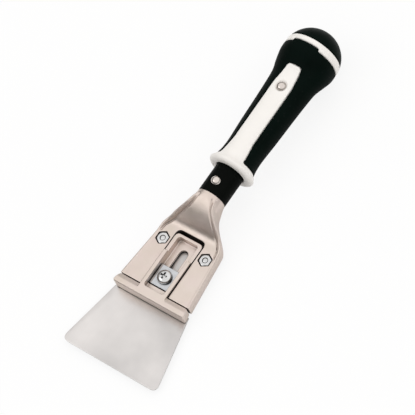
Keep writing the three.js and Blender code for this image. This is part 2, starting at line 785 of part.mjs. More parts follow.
const castMetal = { color: 0xd6c8bf, roughness: 0.42, metalness: 0.85 };
const bladeSteel = { color: 0xdcd8d5, roughness: 0.34, metalness: 0.95 };
const zincPlate = { color: 0xd9dcdf, roughness: 0.22, metalness: 1 };
const nickelPlate = { color: 0xc2bab4, roughness: 0.28, metalness: 1 };
const blackPaint = { color: 0x141616, roughness: 0.4, metalness: 0.2 };
const whitePlastic = { color: 0xf2efea, roughness: 0.5, metalness: 0 };
const blackRubber = { color: 0x151717, roughness: 0.75, metalness: 0 };

function part(name, solid, finish) {
  const mesh = new THREE.Mesh(geometryOf(solid), new THREE.MeshStandardMaterial(finish));
  mesh.name = name;
  return mesh;
}

const scraper = new THREE.Group();
scraper.add(
  part('blade', makeBlade(), bladeSteel),
  part('head_casting', makeHead(), castMetal),
  part('blade_stiffener', makeStiffener(), castMetal),
  part('back_plate', makeBackPlate(), castMetal),
  part('clamp_screw_left', makeClampScrew(-1), zincPlate),
  part('clamp_screw_right', makeClampScrew(1), zincPlate),
  part('clamp_nut_left', makeClampNut(-1), zincPlate),
  part('clamp_nut_right', makeClampNut(1), zincPlate),
  part('lock_screw', makeLockScrew(), zincPlate),
  part('guide_plate', makeGuidePlate(), zincPlate),
  part('lock_nut', makeLockNut(), zincPlate),
  part('shank_tube', makeTube(), blackPaint),
  part('tube_rivet', makeRivet(), nickelPlate),
  part('handle_core', makeCore(), whitePlastic),
  part('soft_grip', makeGrip(), blackRubber),
  part('end_cap', makeCap(), blackRubber),
  part('handle_pin', makePin(), nickelPlate),
);

// The part stands with its lowest faces on z = 0, centred along its length
scraper.position.set(0, -topY / 2, Math.max(BULB_RADIUS, -plateBack));

export default scraper;
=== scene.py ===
import math

import bmesh
import bpy
import numpy as np
from mathutils import Matrix, Vector


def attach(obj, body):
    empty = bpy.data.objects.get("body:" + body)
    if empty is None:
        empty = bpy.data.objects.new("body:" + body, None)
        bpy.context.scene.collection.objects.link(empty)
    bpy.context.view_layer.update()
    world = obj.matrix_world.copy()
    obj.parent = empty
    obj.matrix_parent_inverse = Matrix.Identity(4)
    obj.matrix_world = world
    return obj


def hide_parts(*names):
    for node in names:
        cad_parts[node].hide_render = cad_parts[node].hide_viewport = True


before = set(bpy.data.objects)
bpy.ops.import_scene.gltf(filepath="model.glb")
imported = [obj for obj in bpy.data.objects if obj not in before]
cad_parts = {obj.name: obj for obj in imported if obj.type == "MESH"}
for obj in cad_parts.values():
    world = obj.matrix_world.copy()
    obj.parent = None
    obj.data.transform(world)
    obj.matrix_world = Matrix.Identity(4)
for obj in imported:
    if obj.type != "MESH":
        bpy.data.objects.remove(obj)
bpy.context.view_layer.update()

# Sizes in millimetres, measured from the cutting edge (y) and the handle's axis (x, z), as in the model

MM = 0.001
HALF_LENGTH = 129.5
AXIS_HEIGHT = 20.0

FIT_GAP = 0.3
SEAT_GAP = 0.25
BLADE_FRONT = -16.25
BLADE_BACK = -17.25
PLATE_FRONT = -8.75
PLATE_BACK = -20.0
BLADE_TAPER = 0.2
BLADE_CORNER = 4.5

HEAD_Y = 54.5
NECK_LENGTH = 68.25
HEAD_WIDTH = 54.4
HEAD_TAPER = 0.1
SHOULDER = (40.5, 61.0)
SCOOP_START = 42.5
SCOOP_FOOT = 6.0
SCOOP_STEEP = math.radians(58)
SCOOP_LEVEL = math.radians(10)
BACK_RISE_START = 42.0
PLATE_SQUARENESS = 14.0
RIB_HALF_WIDTH = 1.3
RIB_DEPTH = 3.2
RIB_RISE = 2.8
RIB_ANGLES = (45.0, 36.0)
RIB_RUN = 8.0
RIB_FADE = 57.0
GROOVE_RADIUS = 0.6
RIM_RISE = 0.3
TANG_HALF_WIDTH = 22.0
TANG_LENGTH = 41.0
STEM_WIDTH = 20.8
SIDE_PLAY = 0.6
STEM_CORNER = 3.25
CHANNEL_TOP = 97.75

CLAMP_Y = 87.5
CLAMP_SPACING = 33.5
CLAMP_SHANK_RADIUS = 1.7
CLAMP_HEAD_RADIUS = 3.8
CLAMP_DRIVE_RADIUS = 1.5
CLAMP_DRIVE_FLOOR_RADIUS = 1.1
CLAMP_DRIVE_DEPTH = 1.2
CLAMP_END_ROUND = 0.55
CLAMP_NUT_FLATS = 7.0
CLAMP_NUT_HEIGHT = 3.25
NUT_SINK = 0.5
NUT_PLAY = 0.8
NUT_CHAMFER = 0.97

LOCK_Y = 65.5
LOCK_SHANK_RADIUS = 2.2
LOCK_HEAD_RADIUS = 4.75
LOCK_HEAD_BASE = -10.75
LOCK_HEAD_HEIGHT = 3.5
LOCK_HEAD_RIM = 1.2
LOCK_HEAD_CHAMFER = 0.2
LOCK_TIP_CHAMFER = 0.4
LOCK_NUT_FLATS = 8.0
LOCK_NUT_HEIGHT = 2.5
DRIVE_SLOT = 1.3
DRIVE_SPAN = 4.8
DRIVE_DEPTH = 1.7

TUBE_RADIUS = 10.0
TUBE_WALL = 1.5
TUBE_CHAMFER = 0.3
TUBE_ENDS = (123.0, 217.75)
RIVET_Y = 131.45
RIVET_RADIUS = 1.6
RIVET_HEAD_RADIUS = 3.3
RIVET_HEAD_HEIGHT = 2.4
RIVET_SEAT = 0.45  # how deep the domes sit in the tube

GUARD_Y = 143.75
GUARD_RADIUS = 16.5
GUARD_RIM = 2.4
GUARD_ROUND = 2.9
GRIP_FOOT = 6.25
GRIP_FOOT_RADIUS = 14.2
WAIST = 13.5
WAIST_RADIUS = 13.1
PALM = 65.0
PALM_HALF_WIDTH = 15.7
HALF_DEPTH = 12.75
BULB_FOOT = 75.5
BULB_FOOT_HALF_WIDTH = 16.8
BULB_CENTRE = 95.25
BULB_RADIUS = 20.0
SWELL_SHARE = 0.4
BULB_LOWER = (0.33, 0.6, 0.25)
BULB_UPPER = (0.72, 1.0, 0.92)
GRIP_SKIN = 1.4
STRIPE_HALF_WIDTH = 7.0
STRIPE_TIP_HALF_WIDTH = 5.0
STRIPE_END = 80.5
STRIPE_CORNER = 2.5
STRIPE_FLARE = 2.0
STRIPE_FLARE_ROUND = 9.3
RING_FRONT = 96.0
RING_SIDE = 94.25
RING_TOP = 100.25
RING_NOTCH_HALF_WIDTH = 9.3
PIN_Y = 207.75
PIN_RADIUS = 1.8
PIN_HEAD_RADIUS = 3.3
PIN_HEAD_HEIGHT = 2.3
DISH_RADIUS = 4.2
DISH_FLOOR = 11.25
DISH_FLOOR_SHARE = 0.8  # of the dish's radius
DISH_MOUTH_SHARE = 1.35
DISH_MOUTH_RISE = 1.2
BORE_LENGTH = 100.0
BORE_LEAD = 20.0  # before the guard
BLADE_BEVEL = 0.15

FAR = 60.0  # how far a cutting tool runs past what it cuts
MERGE_DISTANCE = 1e-7  # metres

# Voxel size in millimetres and rounds of easing, for the pieces with rounded edges
HEAD_SOFTNESS = (0.34, 1)
STIFFENER_SOFTNESS = (0.28, 5)
BACK_PLATE_SOFTNESS = (0.32, 3)
GUIDE_PLATE_SOFTNESS = (0.16, 2)
CORE_SOFTNESS = (0.47, 9)
GRIP_SOFTNESS = (0.42, 7)
CAP_SOFTNESS = (0.42, 3)
EASING = 0.5

# Points round and along the lofted and turned pieces
HEAD_SIDES = 320
HEAD_RINGS = 180
RIB_SIDES = 40
RIB_RINGS = 120
GROOVE_SIDES = 24
GROOVE_RINGS = 90
HANDLE_SIDES = 200
HANDLE_STEPS = 16
GUARD_STEPS = 14
BULB_STEPS = 40
TUBE_SIDES = 128
BORE_SIDES = 96
PIN_SIDES = 64
LOCK_SCREW_SIDES = 96
LOCK_DOME_STEPS = 20
CLAMP_SCREW_SIDES = 48
CLAMP_END_STEPS = 6
NUT_CONE_SIDES = 72
NUT_BORE_SIDES = 48
BLADE_BEVEL_STEPS = 2

# Angles from which an edge is kept sharp, is bevelled or is taken as flat
SHARP_ANGLE = math.radians(35)
BLADE_SHARP_ANGLE = math.radians(30)
BEVEL_ANGLE = math.radians(50)
FLAT_ANGLE = math.radians(1)

# Camera at the photo's angle: place in metres, lens and sensor in millimetres
CAMERA_PLACE = (0.5071, -0.3483, 1.0663)
CAMERA_RIGHT = (0.904375, 0.037774, -0.425064)
CAMERA_UP = (0.085051, 0.960136, 0.266281)
CAMERA_ROLL = math.radians(33)
CAMERA_LENS = 165.98
CAMERA_SENSOR = 36.0
CAMERA_FAR = 20.0

# Light of the studio's ceiling, the key lamp, and the floor's share of plain white
FLOOR_GLOW = 0.85
FLOOR_MIRROR = 0.12  # the same, as polished metal shows it
SKY_LOW = 0.06
SKY_HIGH = 1.13
SKY_BRIGHT_SIDE = (0.1, 0.14, 0.97)
SKY_REACH = (0.13, 0.6)  # where the light comes up, as a cosine off the bright side
SKY_COLOUR = (1.0, 0.99, 0.98, 1.0)
KEY_PLACE = (-1.0, -1.1, 1.35)
KEY_SIZE = 1.4
KEY_POWER = 3.5
FLOOR_REACH = 3.0
FLOOR_LEVEL = -0.0004

# Colours of the finishes
CAST_YELLOWISH = (0.655, 0.575, 0.505)
CAST_PINKISH = (0.695, 0.585, 0.55)
CAST_PALE = (0.73, 0.655, 0.60)
# Painted shade: the dark brown that the cast metal's hollows are darkened towards
CAST_HOLLOW_SHADE = (0.20, 0.17, 0.15)
# Painted shade: the near black that the cast metal's gaps and creases are darkened towards
CAST_GAP_SHADE = (0.015, 0.013, 0.012)
# Wear and painted highlight: the pale tone that the cast metal's outer edges are lightened towards
CAST_WEAR_AND_HIGHLIGHT = (0.90, 0.84, 0.80)
STEEL_TONES = ((0.77, 0.741, 0.727), (0.41, 0.40, 0.395))
STEEL_LINE = (0.60, 0.58, 0.57)
# Painted shade: the near black that the blade's deep gaps are darkened towards
STEEL_GAP_SHADE = (0.03, 0.03, 0.03)
ZINC_TONES = ((0.58, 0.58, 0.58), (0.68, 0.68, 0.68))
ZINC_SHEET_TONES = ((0.46, 0.47, 0.49), (0.58, 0.59, 0.61))
# Painted shade: the near black that zinc parts' gaps and creases are darkened towards
ZINC_GAP_SHADE = (0.02, 0.02, 0.02)
NICKEL_TONES = ((0.60, 0.55, 0.51), (0.70, 0.64, 0.60))
# Painted shade: the dark tone that the rivet's and pin's tight gaps are darkened towards
NICKEL_GAP_SHADE = (0.05, 0.045, 0.04)
PAINT_TONES = ((0.001, 0.0015, 0.001), (0.002, 0.003, 0.002))
BLACK_TONES = ((0.0005, 0.003, 0.002), (0.001, 0.005, 0.0035))
BLACK_RUBBED = (0.012, 0.013, 0.013)
WHITE_TONES = ((0.915, 0.885, 0.845), (0.945, 0.92, 0.885))
# Painted shade: the grey that the white plastic's hollows are darkened towards
WHITE_HOLLOW_SHADE = (0.50, 0.47, 0.43)
FLOOR_TONES = ((0.94, 0.94, 0.94), (0.96, 0.96, 0.96))

# Bend of the surface from which an edge is lightened for wear and painted highlight, or a hollow is
# darkened with painted shade, where 0.5 is flat
EDGE_START = 0.53
HOLLOW_START = 0.48

# Openness at which a gap or crease begins to darken with painted shade, and at which it is dark
SHUT_RANGES = {"Gap": (0.56, 0.25), "Crease": (0.82, 0.45)}
OPENNESS_SAMPLES = 12
CREASE_SHARE = 0.85  # how much of a gap's darkness a crease gets
# Share of the painted shade in gaps and creases
GAP_SHADE_SHARE = 0.95


# Meshes


def placed(points):
    """Millimetre points of the tool as metres of the model's frame."""
    points = np.asarray(points, float).reshape(-1, 3)
    return (points + (0, -HALF_LENGTH, AXIS_HEIGHT)) * MM


def new_object(name, mesh):
    made = bpy.data.objects.new(name, mesh)
    bpy.context.scene.collection.objects.link(made)
    return made


def mesh_object(name, points, faces):
    mesh = bpy.data.meshes.new(name)
    mesh.from_pydata([tuple(p) for p in placed(points)], [], faces)
    close_up(mesh)
    return new_object(name, mesh)


def close_up(mesh):
    """Merges doubled points and turns every face outwards."""
    work = bmesh.new()
    work.from_mesh(mesh)
    bmesh.ops.remove_doubles(work, verts=work.verts, dist=MERGE_DISTANCE)
    bmesh.ops.recalc_face_normals(work, faces=work.faces)
    work.to_mesh(mesh)
    work.free()


def settle(piece):
    """Makes the result of a piece's modifiers its plain mesh."""
    bpy.context.view_layer.update()
    graph = bpy.context.evaluated_depsgraph_get()
    mesh = bpy.data.meshes.new_from_object(piece.evaluated_get(graph))
    piece.modifiers.clear()
    piece.data = mesh
    return piece


def combine(body, operation, *tools):
    """Joins, cuts or intersects a piece with others, which are used up."""
    for tool in tools:
        step = body.modifiers.new("combine", "BOOLEAN")
        step.operation = operation
        step.solver = "MANIFOLD"
        step.object = tool
        settle(body)
        bpy.data.objects.remove(tool)
    return body


def soften(piece, voxel, rounds):
    """Rounds off every edge, as on a cast or moulded piece."""
    remesh = piece.modifiers.new("remesh", "REMESH")
    remesh.mode = "VOXEL"
    remesh.voxel_size = voxel * MM
    ease = piece.modifiers.new("ease", "SMOOTH")
    ease.factor = EASING
    ease.iterations = rounds
    settle(piece)
    piece.data.shade_smooth()
    return piece


def copy_of(node, name):
    piece = new_object(name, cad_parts[node].data.copy())
    piece.data.materials.clear()
    close_up(piece.data)
    return piece


def loft(name, rings):
    """A closed skin through rings of equally many points."""
    count = len(rings[0])
    faces = [tuple(range(count)), tuple(range((len(rings) - 1) * count, len(rings) * count))]
    for ring in range(len(rings) - 1):
        for i in range(count):
            here = ring * count + i
            after = ring * count + (i + 1) % count
            faces.append((here, after, after + count, here + count))
    return mesh_object(name, np.concatenate(rings), faces)


def prism(name, outline, low, high):
    """An outline in X and Y raised from one height to another."""
    rings = [[(x, y, z) for x, y in outline] for z in (low, high)]
    return loft(name, rings)


def box(name, low, high):
    (x0, y0, z0), (x1, y1, z1) = low, high
    return prism(name, [(x0, y0), (x1, y0), (x1, y1), (x0, y1)], z0, z1)


def hexagon(flats, x, y):
    corner = flats / math.sqrt(3)
    angles = [math.pi / 2 + i * math.pi / 3 for i in range(6)]
    return [(x + corner * math.cos(a), y + corner * math.sin(a)) for a in angles]


def rounded_outline(corners, steps=8):
    """An outline through (x, y, radius) corners, each rounded."""
    outline = []
    for i, (x, y, radius) in enumerate(corners):
        here = Vector((x, y))
        inward = (Vector(corners[i - 1][:2]) - here).normalized()
        outward = (Vector(corners[(i + 1) % len(corners)][:2]) - here).normalized()
        setback = radius / math.tan(inward.angle(outward) / 2)
        start = here + inward * setback
        end = here + outward * setback
        for step in range(steps + 1 if radius else 1):
            t = step / steps
            outline.append(tuple(start * (1 - t) ** 2 + here * 2 * t * (1 - t) + end * t ** 2))
    return outline


def mirrored_outline(right_side):
    left_side = [(-x, y, radius) for x, y, radius in reversed(right_side)]
    return rounded_outline([*right_side, *left_side])


def smooth(low, high, at):
    t = np.clip((at - low) / (high - low), 0, 1)
    return t * t * (3 - 2 * t)


def mix(a, b, t):
    return a + (b - a) * t


# Node trees


def add(tree, kind, settings=(), **inputs):
    """A node with its settings and inputs. An input is a value or another node's socket."""
    made = tree.nodes.new(kind)
    for name, value in dict(settings).items():
        setattr(made, name, value)
    for name, value in inputs.items():
        key = int(name[1:]) if name[0] == "_" else name.replace("_", " ")
        if isinstance(value, bpy.types.NodeSocket):
            tree.links.new(value, made.inputs[key])
        else:
            made.inputs[key].default_value = value
    return made


def sum_up(tree, operation, first, second=0.0, third=0.0):
    made = add(tree, "ShaderNodeMath", {"operation": operation}, _0=first, _1=second, _2=third)
    return made.outputs[0]


def geometry_tree(name, sockets):
    """An empty geometry tree with named inputs, and its input and output nodes."""
    tree = bpy.data.node_groups.new(name, "GeometryNodeTree")
    tree.interface.new_socket("Geometry", in_out="OUTPUT", socket_type="NodeSocketGeometry")
    tree.interface.new_socket("Geometry", in_out="INPUT", socket_type="NodeSocketGeometry")
    for label, kind in sockets.items():
        tree.interface.new_socket(label, in_out="INPUT", socket_type="NodeSocket" + kind)
    return tree, tree.nodes.new("NodeGroupInput").outputs, tree.nodes.new("NodeGroupOutput").inputs


PLACING = {
    "Turn": "Rotation",
    "Place": "Vector",
    "Copies": "Int",
    "Spacing": "Vector",
    "Finish": "Material",
}


def finish_copies(tree, given, result, geometry):
    """Turns and places a piece, repeats it and gives it its finish."""
    turned = add(tree, "GeometryNodeTransform", _0=geometry, Rotation=given["Turn"])
    line = add(
        tree,
        "GeometryNodeMeshLine",
        {"mode": "OFFSET"},
        Count=given["Copies"],
        Start_Location=given["Place"],
        Offset=given["Spacing"],
    )
    points = line.outputs[0]
    copies = add(tree, "GeometryNodeInstanceOnPoints", Points=points, Instance=turned.outputs[0])
    real = add(tree, "GeometryNodeRealizeInstances", _0=copies.outputs[0])
    coated = add(tree, "GeometryNodeSetMaterial", Geometry=real.outputs[0], Material=given["Finish"])
    tree.links.new(coated.outputs[0], result["Geometry"])


def make_profile_tree():
    """Rings round Y through a profile whose points hold half-width, height and half-depth."""
    tree, given, result = geometry_tree("rings_through_profile", {"Sides": "Int", **PLACING})
    size = add(tree, "GeometryNodeAttributeDomainSize", {"component": "MESH"}, _0=given["Geometry"])
    count = size.outputs["Point Count"]
    columns = sum_up(tree, "ADD", given["Sides"], 1)
    grid = add(tree, "GeometryNodeMeshGrid", Vertices_X=columns, Vertices_Y=count)
    index = tree.nodes.new("GeometryNodeInputIndex").outputs[0]
    row = sum_up(tree, "FLOORED_MODULO", index, count)
    column = sum_up(tree, "FLOOR", sum_up(tree, "DIVIDE", index, count))
    angle = sum_up(tree, "MULTIPLY", sum_up(tree, "DIVIDE", column, given["Sides"]), math.tau)
    position = tree.nodes.new("GeometryNodeInputPosition").outputs[0]
    sample = add(
        tree,
        "GeometryNodeSampleIndex",
        {"data_type": "FLOAT_VECTOR", "domain": "POINT"},
        Geometry=given["Geometry"],
        Value=position,
        Index=row,
    )
    parts = add(tree, "ShaderNodeSeparateXYZ", _0=sample.outputs[0]).outputs
    point = add(
        tree,
        "ShaderNodeCombineXYZ",
        X=sum_up(tree, "MULTIPLY", parts[0], sum_up(tree, "SINE", angle)),
        Y=parts[1],
        Z=sum_up(tree, "MULTIPLY", parts[2], sum_up(tree, "COSINE", angle)),
    )
    bent = add(tree, "GeometryNodeSetPosition", Geometry=grid.outputs["Mesh"], Position=point.outputs[0])
    whole = add(tree, "GeometryNodeMergeByDistance", Geometry=bent.outputs[0], Distance=MERGE_DISTANCE)
    finish_copies(tree, given, result, whole.outputs[0])
    return tree


def make_nut_tree():
    """Hexagon nuts with a turned chamfer and a bore, standing on their place along Z."""
    sockets = {"Flats": "Float", "Height": "Float", "Bore": "Float", "Chamfer": "Float"}
    tree, given, result = geometry_tree("hexagon_nuts", {**sockets, **PLACING})
    corner = sum_up(tree, "DIVIDE", given["Flats"], math.sqrt(3))
    prism_node = add(tree, "GeometryNodeMeshCylinder", Vertices=6, Radius=corner, Depth=given["Height"])
    turned = add(tree, "GeometryNodeTransform", _0=prism_node.outputs[0], Rotation=(0, 0, math.pi / 6))
    top = sum_up(tree, "MULTIPLY", given["Flats"], sum_up(tree, "MULTIPLY", given["Chamfer"], 0.5))
    low = sum_up(tree, "MULTIPLY_ADD", given["Height"], math.sqrt(3), top)
    cone = add(
        tree,
        "GeometryNodeMeshCone",
        Vertices=NUT_CONE_SIDES,
        Radius_Top=top,
        Radius_Bottom=low,
        Depth=given["Height"],
    )
    down = add(tree, "ShaderNodeCombineXYZ", Z=sum_up(tree, "MULTIPLY", given["Height"], -0.5))
    lowered = add(tree, "GeometryNodeTransform", _0=cone.outputs[0], Translation=down.outputs[0])
    chamfered = add(tree, "GeometryNodeMeshBoolean", {"operation": "INTERSECT", "solver": "EXACT"})
    tree.links.new(lowered.outputs[0], chamfered.inputs["Mesh 2"])
    tree.links.new(turned.outputs[0], chamfered.inputs["Mesh 2"])
    bore = add(
        tree,
        "GeometryNodeMeshCylinder",
        Vertices=NUT_BORE_SIDES,
        Radius=given["Bore"],
        Depth=sum_up(tree, "MULTIPLY", given["Height"], 3.0),
    )
    bored = add(
        tree,
        "GeometryNodeMeshBoolean",
        {"operation": "DIFFERENCE", "solver": "EXACT"},
        Mesh_1=chamfered.outputs[0],
        Mesh_2=bore.outputs[0],
    )
    finish_copies(tree, given, result, bored.outputs[0])
    return tree


def grow(tree, name, mesh, **values):
    """An object whose plain mesh is what a geometry tree makes from a start mesh."""
    piece = new_object(name, mesh)
    step = piece.modifiers.new("grow", "NODES")
    step.node_group = tree
    keys = {item.name: item.identifier for item in tree.interface.items_tree if item.in_out == "INPUT"}
    for label, value in values.items():
        step[keys[label]] = value
    settle(piece)
    close_up(piece.data)
    piece.data.shade_smooth()
    piece.data.set_sharp_from_angle(angle=SHARP_ANGLE)
    return piece


def profile_mesh(points):
    """A start mesh of (half-width, height, half-depth) points in millimetres."""
    mesh = bpy.data.meshes.new("profile")
    mesh.from_pydata([tuple(v * MM for v in point) for point in points], [], [])
    return mesh


UPRIGHT = (math.pi / 2, 0.0, 0.0)  # turns a profile's Y to Z


def turned(name, profile, sides, turn=(0.0, 0.0, 0.0), x=0.0, y=0.0, copies=1, spacing=0.0, finish=None):
    """A turned piece from (radius, height) pairs, about Y or, where it is upright, about Z."""
    points = [(radius, height, radius) for radius, height in profile]
    place = tuple(placed((x, y, 0))[0])
    return grow(
        profile_tree,
        name,
        profile_mesh(points),
        Sides=sides,
        Turn=turn,
        Place=place,
        Copies=copies,
        Spacing=(spacing * MM, 0.0, 0.0),
        Finish=finish,
    )


def nuts(name, flats, height, bore, x, y, middle, copies, spacing, finish):
    place = tuple(placed((x, y, middle))[0])
    return grow(
        nut_tree,
        name,
        profile_mesh([(0, 0, 0)]),
        Flats=flats * MM,
        Height=height * MM,
        Bore=bore * MM,
        Chamfer=NUT_CHAMFER,
        Place=place,
        Copies=copies,
        Spacing=(spacing * MM, 0.0, 0.0),
        Finish=finish,
    )


def dome(radius, base, height, steps=12):
    """(radius, height) pairs of a dome from its rim to the axis."""
    angles = [i / steps * math.pi / 2 for i in range(steps + 1)]
    slope = [(radius * math.cos(a), base + height * math.sin(a)) for a in angles[:-1]]
    return [*slope, (0.0, base + height)]


# Shader groups and finishes


def shader_group(name, inputs, outputs):
    tree = bpy.data.node_groups.new(name, "ShaderNodeTree")
    for label, value in inputs.items():
        socket = tree.interface.new_socket(label, in_out="INPUT", socket_type="NodeSocketFloat")
        socket.default_value = value
    for label in outputs:
        tree.interface.new_socket(label, in_out="OUTPUT", socket_type="NodeSocketFloat")
    return tree, tree.nodes.new("NodeGroupInput").outputs, tree.nodes.new("NodeGroupOutput").inputs


def make_mottle_group():
    """Slow, cloudy change over a surface, between two values."""
    inputs = {"Scale": 60.0, "Low": 0.0, "High": 1.0}
    tree, given, result = shader_group("cloudy_mottle", inputs, ["Value"])
    place = tree.nodes.new("ShaderNodeTexCoord").outputs["Object"]
    cloud = add(
        tree,
        "ShaderNodeTexNoise",
        Vector=place,
        Scale=given["Scale"],
        Detail=4.0,
        Roughness=0.55,
    )
    spread = add(
        tree,
        "ShaderNodeMapRange",
        Value=cloud.outputs[0],
        From_Min=0.3,
        From_Max=0.7,
        To_Min=given["Low"],
        To_Max=given["High"],
    )
    tree.links.new(spread.outputs[0], result["Value"])
    return tree


def make_grain_group():
    """A fine pebbled height, as of a cast or moulded skin."""
    tree, given, result = shader_group("pebbled_grain", {"Scale": 2500.0, "Depth": 1.0}, ["Height"])
    place = tree.nodes.new("ShaderNodeTexCoord").outputs["Object"]
    pebble = add(
        tree,
        "ShaderNodeTexVoronoi",
        {"feature": "SMOOTH_F1"},
        Vector=place,
        Scale=given["Scale"],
    )
    dust = add(tree, "ShaderNodeTexNoise", Vector=place, Scale=given["Scale"], Detail=3.0)
    both = sum_up(tree, "ADD", pebble.outputs["Distance"], dust.outputs[0])
    tree.links.new(sum_up(tree, "MULTIPLY", both, given["Depth"]), result["Height"])
    return tree


def make_brush_group():
    """Fine lines along Y, as a grinding belt leaves them."""
    inputs = {"Fineness": 4000.0, "Length": 40.0}
    tree, given, result = shader_group("belt_lines", inputs, ["Value"])
    place = tree.nodes.new("ShaderNodeTexCoord").outputs["Object"]
    fine = given["Fineness"]
    stretch = add(tree, "ShaderNodeCombineXYZ", X=fine, Y=given["Length"], Z=fine).outputs[0]
    scaled = add(tree, "ShaderNodeVectorMath", {"operation": "MULTIPLY"}, _0=place, _1=stretch)
    lines = add(
        tree,
        "ShaderNodeTexNoise",
        Vector=scaled.outputs[0],
        Scale=1.0,
        Detail=3.0,
        Roughness=0.6,
    )
    tree.links.new(lines.outputs[0], result["Value"])
    return tree


def make_edge_group():
    """Masks of outer edges, for wear and painted highlight, and of hollows, deep gaps and tight creases,
    for painted shade.
    """
    inputs = {"Reach": 0.08, "Gap": 7.0, "Crease": 1.2}
    outputs = ["Edges", "Hollows", "Gaps", "Creases"]
    tree, given, result = shader_group("edges_and_hollows", inputs, outputs)
    bend = tree.nodes.new("ShaderNodeNewGeometry").outputs["Pointiness"]
    high = sum_up(tree, "ADD", given["Reach"], 0.5)
    low = sum_up(tree, "SUBTRACT", 0.5, given["Reach"])
    edges = add(tree, "ShaderNodeMapRange", Value=bend, From_Min=EDGE_START, From_Max=high)
    hollows = add(tree, "ShaderNodeMapRange", Value=bend, From_Min=HOLLOW_START, From_Max=low)
    tree.links.new(edges.outputs[0], result["Edges"])
    tree.links.new(hollows.outputs[0], result["Hollows"])
    for label, (wide, tight) in SHUT_RANGES.items():
        distance = sum_up(tree, "MULTIPLY", given[label], MM)
        nearby = add(
            tree,
            "ShaderNodeAmbientOcclusion",
            {"samples": OPENNESS_SAMPLES},
            Distance=distance,
        )
        openness = nearby.outputs["AO"]
        shut = add(tree, "ShaderNodeMapRange", Value=openness, From_Min=wide, From_Max=tight)
        tree.links.new(shut.outputs[0], result[label + "s"])
    return tree


def new_finish(name):
    material = bpy.data.materials.new(name)
    material.use_nodes = True
    tree = material.node_tree
    return material, tree, tree.nodes["Principled BSDF"]


def use(tree, group, **values):
    placed_group = add(tree, "ShaderNodeGroup", {"node_tree": group})
    for label, value in values.items():
        placed_group.inputs[label].default_value = value
    return placed_group.outputs


def blend_colours(tree, share, first, second):
    made = tree.nodes.new("ShaderNodeMix")
    made.data_type = "RGBA"
    tree.links.new(share, made.inputs["Factor"])
    for key, value in (("A", first), ("B", second)):
        socket = next(s for s in made.inputs if s.name == key and s.type == "RGBA")
        if isinstance(value, bpy.types.NodeSocket):
            tree.links.new(value, socket)
        else:
            socket.default_value = (*value, 1.0)
    return next(s for s in made.outputs if s.type == "RGBA")


def bump(tree, shader, height, strength, distance):
    made = add(tree, "ShaderNodeBump", Height=height, Strength=strength, Distance=distance * MM)
    tree.links.new(made.outputs[0], shader.inputs["Normal"])


def roughen(tree, shader, scale, low, high):
    """Roughness that changes slowly over the surface."""
    cloud = use(tree, mottle, Scale=scale, Low=low, High=high)["Value"]
    tree.links.new(cloud, shader.inputs["Roughness"])


def pebble_skin(tree, shader, scale, strength, distance):
    bump(tree, shader, use(tree, grain, Scale=scale, Depth=1.0)["Height"], strength, distance)


def partly(tree, mask, share):
    return sum_up(tree, "MULTIPLY", mask, share)


# Painted shade: a mask of deep gaps and tight creases, where shade falls
def gap_and_crease_shade(tree, wear_and_shade_masks):
    shut = sum_up(tree, "MAXIMUM", wear_and_shade_masks["Gaps"], partly(tree, wear_and_shade_masks["Creases"], CREASE_SHARE))
    return partly(tree, shut, GAP_SHADE_SHARE)


def make_cast_metal():
    material, tree, shader = new_finish("satin_cast_metal")
    cloud = use(tree, mottle, Scale=45.0, Low=0.0, High=1.0)["Value"]
    wear_and_shade_masks = use(tree, edge_masks, Reach=0.07)
    tint = use(tree, mottle, Scale=95.0, Low=0.0, High=1.0)["Value"]
    warm = blend_colours(tree, tint, CAST_YELLOWISH, CAST_PINKISH)
    base = blend_colours(tree, partly(tree, cloud, 0.5), warm, CAST_PALE)
    # Painted shade: concave hollows darkened
    hollow_shaded = blend_colours(tree, partly(tree, wear_and_shade_masks["Hollows"], 0.6), base, CAST_HOLLOW_SHADE)
    # Painted shade: deep gaps and tight creases darkened almost to black
    painted_shaded = blend_colours(tree, gap_and_crease_shade(tree, wear_and_shade_masks), hollow_shaded, CAST_GAP_SHADE)
    # Wear and painted highlight: outer edges lightened
    worn_and_highlit = blend_colours(tree, partly(tree, wear_and_shade_masks["Edges"], 0.4), painted_shaded, CAST_WEAR_AND_HIGHLIGHT)
    tree.links.new(worn_and_highlit, shader.inputs["Base Color"])
    roughen(tree, shader, 160.0, 0.36, 0.47)
    shader.inputs["Metallic"].default_value = 0.9
    pebble_skin(tree, shader, 1800.0, 0.18, 0.08)
    return material


def make_blade_steel():
    material, tree, shader = new_finish("ground_blade_steel")
    lines = use(tree, brush, Fineness=3600.0, Length=30.0)["Value"]
    cloud = use(tree, mottle, Scale=13.0, Low=0.0, High=1.0)["Value"]
    base = blend_colours(tree, cloud, *STEEL_TONES)
    streaked = blend_colours(tree, partly(tree, lines, 0.25), base, STEEL_LINE)
    gaps = use(tree, edge_masks, Reach=0.1)["Gaps"]
    # Painted shade: deep gaps on the blade darkened
    painted_shaded = blend_colours(tree, partly(tree, gaps, 0.9), streaked, STEEL_GAP_SHADE)
    tree.links.new(painted_shaded, shader.inputs["Base Color"])
    rough = add(tree, "ShaderNodeMapRange", Value=lines, To_Min=0.26, To_Max=0.42)
    tree.links.new(rough.outputs[0], shader.inputs["Roughness"])
    shader.inputs["Metallic"].default_value = 0.95
    bump(tree, shader, lines, 0.12, 0.05)
    return material


